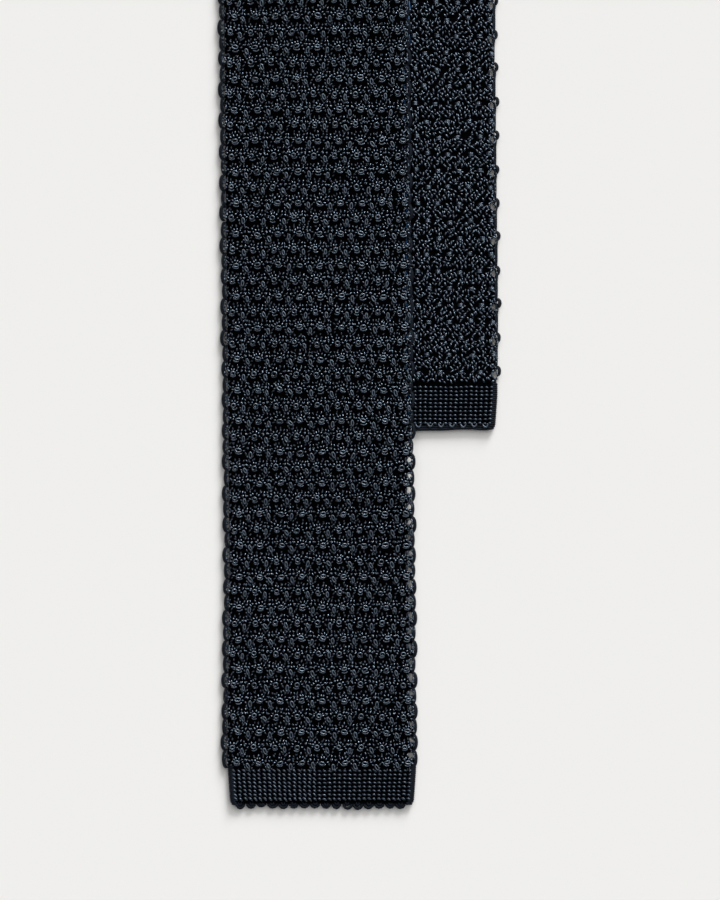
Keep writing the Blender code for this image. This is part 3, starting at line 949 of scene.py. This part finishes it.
front = Half(
    ("front_blade_knit", "front_upper_knit"), FRONT_END, fold_at=BLADE_FOLD,
    nominal=31.2 * MM, row=ROW, rows_at=FRONT_END + 19.8 * MM,
    knobs=(
        (0.80 * MM, 0.10 * MM), (0.75 * MM, 0.30 * MM), 1.6 * MM,
        (1.05 * MM, 0.95 * MM), (0.50, 0.53),
    ),
    eyelets=(29.7 * MM, FRONT_END + 19.8 * MM + 2.4 * MM, ROW, 0.58 * MM), seam=0.0, seam_face=-1,
    band_in=(1.15 * MM, 0.20 * MM),
)
tail = Half(
    ("tail_blade_knit", "neck_knit"), TAIL_END,
    nominal=29.6 * MM, row=TAIL_ROW, rows_at=TAIL_END + 19.5 * MM,
    knobs=((0.0, 0.0), (1.05 * MM, 0.05 * MM), 0.6 * MM, (0.95 * MM, 0.20 * MM), (0.25, 0.88)),
    eyelets=(28.4 * MM, TAIL_END + 18.7 * MM, 2 * TAIL_ROW, 0.74 * MM), seam=1.7 * MM, seam_face=1,
    band_in=(0.5 * MM, 0.55 * MM),
)
turn = Turn(
    nominal=31.2 * MM, row=ROW, rows_at=2.2 * MM,
    knobs=((0.0, 0.0), (0.2 * MM, 0.1 * MM), 1.0 * MM, (0.8 * MM, 0.8 * MM), (0.53, 0.53)),
    eyelets=(1.0, 0.0, 1.0, 0.5 * MM), seam=0.0, seam_face=1,
)
YARN_LOOK = yarn_group()
CLOSE_WEAVE = weave_group()
DARK_NAVY, NAVY = (0.0015, 0.0022, 0.0045), (0.006, 0.009, 0.018)
SILK = silk("navy_silk", DARK_NAVY, NAVY, 0.30, 1.0)
# A darker, duller copy of the same silk: painted shade for the edges' loops, the bands' sides, the
# scallops and the end cords.
SILK_PAINTED_SHADE = silk("navy_silk_painted_shade", (0.0015, 0.002, 0.004), (0.004, 0.006, 0.011), 0.60, 0.12)
# A shinier copy of the same silk: a painted highlight for the raised stitches on the domes.
SILK_PAINTED_HIGHLIGHT = silk("navy_silk_painted_highlight", DARK_NAVY, NAVY, 0.27, 1.0, 1.95)
NAVY_THREAD = silk("navy_sewing_thread", (0.003, 0.004, 0.008), (0.010, 0.013, 0.024), 0.45, 0.6)
BLUE_THREAD = silk("bright_blue_sewing_thread", (0.018, 0.095, 0.260), (0.036, 0.170, 0.430), 0.45, 0.6)
NECK_TAPE = cloth("black_neck_tape", (0.010, 0.010, 0.013), (0.030, 0.030, 0.036), 900.0)
LABEL = cloth("dark_woven_label", (0.020, 0.023, 0.034), (0.060, 0.066, 0.085), 700.0)
# The inner surface: a near-black silk with no reflection, painted shade in the gaps between the yarn.
SILK_GROUND_PAINTED_SHADE = silk("navy_silk_ground_painted_shade", (0.0010, 0.0010, 0.0014), (0.0016, 0.0018, 0.0024), 1.0, 0.0)
AROUND = ("neck", "front_upper", (0, 0, 0.3 * MM), (0, 0, 2 * TURN_Z - 0.3 * MM))


def finished(piece, finish, body, *nodes):
    """Makes a finished piece ride its body, or fixes a piece between two bodies where it lies, and
    hides the solids it stands for.
    """
    if isinstance(body, str):
        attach(piece, body)
    else:
        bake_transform(piece)
    if nodes:
        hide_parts(*nodes)
    return piece


def knitted(name, half, yarns, low, high, body, *nodes, banded=False, beyond=()):
    """A length of the knit: the inner surface, which is the cloth, and the yarn that stands on it."""
    start = half.end + 1.0 * MM if banded else low
    # The inner surface is painted near-black, as shade in the gaps between the yarn.
    cloth_part = paint(ground(name + "_cloth", half, start, high, banded), SILK_GROUND_PAINTED_SHADE)
    finished(cloth_part, "silk_knit", body, *nodes)
    count = max(1, round((high - low) / (NEAR_PIECE if high <= NEAR_LIMIT + MM else FAR_PIECE)))
    for i, at in enumerate(np.linspace(low, high, count + 1)[:-1]):
        word = f"_yarn_{i + 1}" if count > 1 else "_yarn"
        part = yarns.piece(name + word, at, at + (high - low) / count)
        finished(part, "silk_knit", body)
    return cloth_part


def thread(name, yarns, material, body, *nodes, low=-9.0, high=9.0):
    """A piece of sewing thread, or the stretch of it from low to high."""
    finish = "blue_thread" if material is BLUE_THREAD else "navy_thread"
    return finished(paint(yarns.piece(name, low, high), material), finish, body, *nodes)


def build_front():
    """The front half, with its fold, its end band, and what is sewn under it."""
    yarns = Yarns()
    top = FRONT_BAND_TOP
    raised_stitches(yarns, front, top + 1.5 * MM, NEAR_LIMIT, True)
    raised_stitches(yarns, front, NEAR_LIMIT + 0.1 * MM, TURN_Y, False)
    flat_stitches(yarns, front, top, TURN_Y, False, -1)
    selvedge(yarns, front, top, NEAR_LIMIT, True)
    selvedge(yarns, front, NEAR_LIMIT, TURN_Y, False)
    bend_low, bend_high = BLADE_FOLD - 0.010, BLADE_FOLD + 0.010
    bend = ("front_upper", "front_lower", (0, BLADE_FOLD + 0.003, 0), (0, BLADE_FOLD - 0.003, 0))
    knitted(
        "front_near", front, yarns, FRONT_END, NEAR_LIMIT, "front_lower", "front_blade_knit",
        banded=True,
    )
    knitted("front_far", front, yarns, NEAR_LIMIT, bend_low, "front_lower")
    knitted("front_bend", front, yarns, bend_low, bend_high, bend)
    knitted("front_upper", front, yarns, bend_high, TURN_Y, "front_upper", "front_upper_knit")
    band = Yarns()
    band_stitches(band, front, FRONT_BAND, 1, 1)
    band_stitches(band, front, FRONT_BAND, -1, -0.4)
    # The band's sides, scallops and end cord take the darker, duller silk copy: painted shade.
    band.look = IN_SHADE
    band_sides(band, front, FRONT_BAND + 0.6 * MM)
    scallops(band, front, 3.5 * MM, 1.3 * MM, -0.15 * MM)
    end_cord(band, front, 1.7 * MM, -0.25 * MM, 0.60 * MM, 3)
    finished(band.piece("front_band"), "silk_band_knit", "front_lower", "front_end_band")
    seam = seam_stitches(front, FRONT_END + 5 * MM, TURN_Y - 2 * MM, -1, 0.22 * MM)
    thread("front_seam_stitches", seam, NAVY_THREAD, "front_lower", "front_seam_thread", high=bend_low)
    thread("front_seam_stitches_bend", seam, NAVY_THREAD, bend, low=bend_low, high=bend_high)
    thread(
        "front_upper_seam_stitches", seam, NAVY_THREAD, "front_upper", "front_upper_seam_thread",
        low=bend_high,
    )
    hem(front, "front_hem_stitches", "front_hem_thread", "front_lower")
    build_keeper()
    build_label()


def hem(half, name, node, body):
    """Zigzag stitches between the two layers that close an end."""
    low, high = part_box(node)
    xs = np.arange(low.x, high.x, 1.8 * MM)
    middle = float(np.interp(low.y, half.ys, half.centre))
    ys = np.where(np.arange(len(xs)) % 2 == 0, low.y, high.y)
    zigzag = bar_stitches(half, np.stack([xs - middle, ys, xs * 0.0], -1), 0.15 * MM)
    thread(name, zigzag, NAVY_THREAD, body, node)


def build_tail():
    """The tail half, with the neck, its end band and its seam."""
    yarns = Yarns()
    top = TAIL_END + TAIL_BAND
    flat_stitches(yarns, tail, top + 0.6 * MM, NEAR_LIMIT, True, 1, -0.3)
    flat_stitches(yarns, tail, top + 0.6 * MM, NEAR_LIMIT, False, 1, side_to=-0.3)
    flat_stitches(yarns, tail, NEAR_LIMIT, TURN_Y, False, 1)
    raised_stitches(yarns, tail, top + MM, TURN_Y, False, -1)
    selvedge(yarns, tail, top, NEAR_LIMIT, True)
    selvedge(yarns, tail, NEAR_LIMIT, TURN_Y, False)
    low, high = TAIL_JOINT - 0.07, TAIL_JOINT + 0.02
    bend = ("neck", "tail", (0, high - 0.01, 0), (0, low + 0.01, 0))
    knitted("tail_near", tail, yarns, TAIL_END, NEAR_LIMIT, "tail", "tail_blade_knit", banded=True)
    knitted("tail_far", tail, yarns, NEAR_LIMIT, low, "tail")
    knitted("tail_bend", tail, yarns, low, high, bend)
    knitted("neck", tail, yarns, high, TURN_Y, "neck", "neck_knit", beyond=build_turn())
    band = Yarns()
    band_stitches(band, tail, TAIL_BAND, 1, 0.6)
    band_stitches(band, tail, TAIL_BAND, -1, -1)
    end_loops(band, tail)
    # The band's sides and end cords take the darker, duller silk copy: painted shade.
    band.look = IN_SHADE
    band_sides(band, tail, TAIL_BAND + 0.4 * MM)
    end_cord(band, tail, 0.75 * MM, 0.10 * MM, 0.62 * MM, 1.4)
    end_cord(band, tail, 1.45 * MM, 0.35 * MM, 0.50 * MM, 1.4)
    finished(band.piece("tail_band"), "silk_band_knit", "tail", "tail_end_band")
    seam = seam_stitches(tail, TAIL_END + 5 * MM, TURN_Y - 2 * MM, 1, 0.24 * MM)
    thread("tail_seam_stitches", seam, BLUE_THREAD, "tail", "tail_seam_thread", high=low)
    thread("tail_seam_stitches_bend", seam, NAVY_THREAD, bend, low=low, high=high)
    thread("neck_seam_stitches", seam, NAVY_THREAD, "neck", "neck_seam_thread", low=high)
    hem(tail, "tail_hem_stitches", "tail_hem_thread", "tail")


def build_turn():
    """The neck fold, outside it and inside it."""
    yarns = Yarns()
    raised_stitches(yarns, turn, 0.5 * MM, turn.long - 0.5 * MM, False, -1)
    flat_stitches(yarns, turn, 0.5 * MM, turn.long - 0.5 * MM, False, 1)
    selvedge(yarns, turn, 0.5 * MM, turn.long - 0.5 * MM, False)
    # The inner surface is painted near-black, as shade in the gaps between the yarn.
    inner = paint(ground("neck_turn_cloth", turn, 0.0, turn.long), SILK_GROUND_PAINTED_SHADE)
    finished(inner, "silk_knit", AROUND, "neck_fold_knit")
    return inner, finished(yarns.piece("neck_turn_yarn"), "silk_knit", AROUND)


def build_tape():
    """The tape inside the tube at the neck, running round within the fold."""
    acrosses = np.linspace(-7 * MM, 7 * MM, 9)
    alongs = np.linspace(0, turn.long, 13)
    grid = strip_places(acrosses * turn.nominal / NECK_HALF, alongs, 0.0)
    round_fold = paint(ribbon("neck_tape_turn", turn, grid, 0.25 * MM), NECK_TAPE)
    finished(round_fold, "neck_tape", AROUND, "neck_fold_tape")
    for name, half, node, body, beyond in (
        ("neck_tape_lower", tail, "neck_tape_back", "neck", [round_fold]),
        ("neck_tape_upper", front, "neck_tape_front", "front_upper", []),
    ):
        low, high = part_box(node)
        alongs = np.arange(low.y, high.y, 3 * MM)
        grid = strip_places(acrosses * half.nominal / NECK_HALF, alongs, 0.0)
        tape = finished(paint(ribbon(name, half, grid, 0.25 * MM), NECK_TAPE), "neck_tape", body, node)


def build_keeper():
    """The loop under the front half that holds the tail when the tie is worn."""
    low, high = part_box("keeper_loop")
    middle = float(np.interp(low.y, front.ys, front.centre))
    acrosses = np.linspace(low.x - middle, high.x - middle, 45)
    reach = (high.x - low.x) / 2
    slack = np.clip((reach - np.abs(acrosses - acrosses.mean()) - 4.5 * MM) / (4 * MM), 0, 1)
    outs = -THICK / 2 - 0.65 * MM - 1.0 * MM * slack * slack * (3 - 2 * slack)
    alongs = np.linspace(low.y, high.y, 12)
    loop = paint(ribbon("keeper_strip", front, strip_places(acrosses, alongs, outs), 0.5 * MM), LABEL)
    finished(loop, "woven_label", "front_lower", "keeper_loop")
    for word in ("left", "right"):
        sewn_low, sewn_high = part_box("keeper_stitches_" + word)
        ys = np.linspace(sewn_low.y, sewn_high.y, 13)
        x = (sewn_low.x + sewn_high.x) / 2 - middle + np.where(np.arange(13) % 2 == 0, -0.5, 0.5) * MM
        line = np.stack([x, ys, np.full(13, -THICK / 2 - 1.05 * MM)], -1)
        bar = bar_stitches(front, line, 0.16 * MM)
        thread("keeper_bar_" + word, bar, NAVY_THREAD, "front_lower", "keeper_stitches_" + word)


def build_label():
    """A blank woven label, sewn along its upper edge."""
    low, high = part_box("care_label")
    middle = float(np.interp((low.y + high.y) / 2, front.ys, front.centre))
    acrosses = np.linspace(-8 * MM, 8 * MM, 9) + (low.x + high.x) / 2 - middle
    alongs = np.linspace(low.y, high.y, 14)
    grid = strip_places(acrosses, alongs, -THICK / 2 - 0.57 * MM)
    label = paint(ribbon("care_label_cloth", front, grid, 0.35 * MM), LABEL)
    finished(label, "woven_label", "front_lower", "care_label")
    sewn_low, sewn_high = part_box("care_label_stitches")
    xs = np.linspace(sewn_low.x, sewn_high.x, 15) - middle
    ys = (sewn_low.y + sewn_high.y) / 2 + np.where(np.arange(15) % 2 == 0, -0.4, 0.4) * MM
    line = np.stack([xs, ys, np.full(15, -THICK / 2 - 0.90 * MM)], -1)
    seam = bar_stitches(front, line, 0.15 * MM)
    thread("care_label_seam", seam, NAVY_THREAD, "front_lower", "care_label_stitches")


build_front()
build_tail()
build_tape()
make_floor()
light_room()
camera()
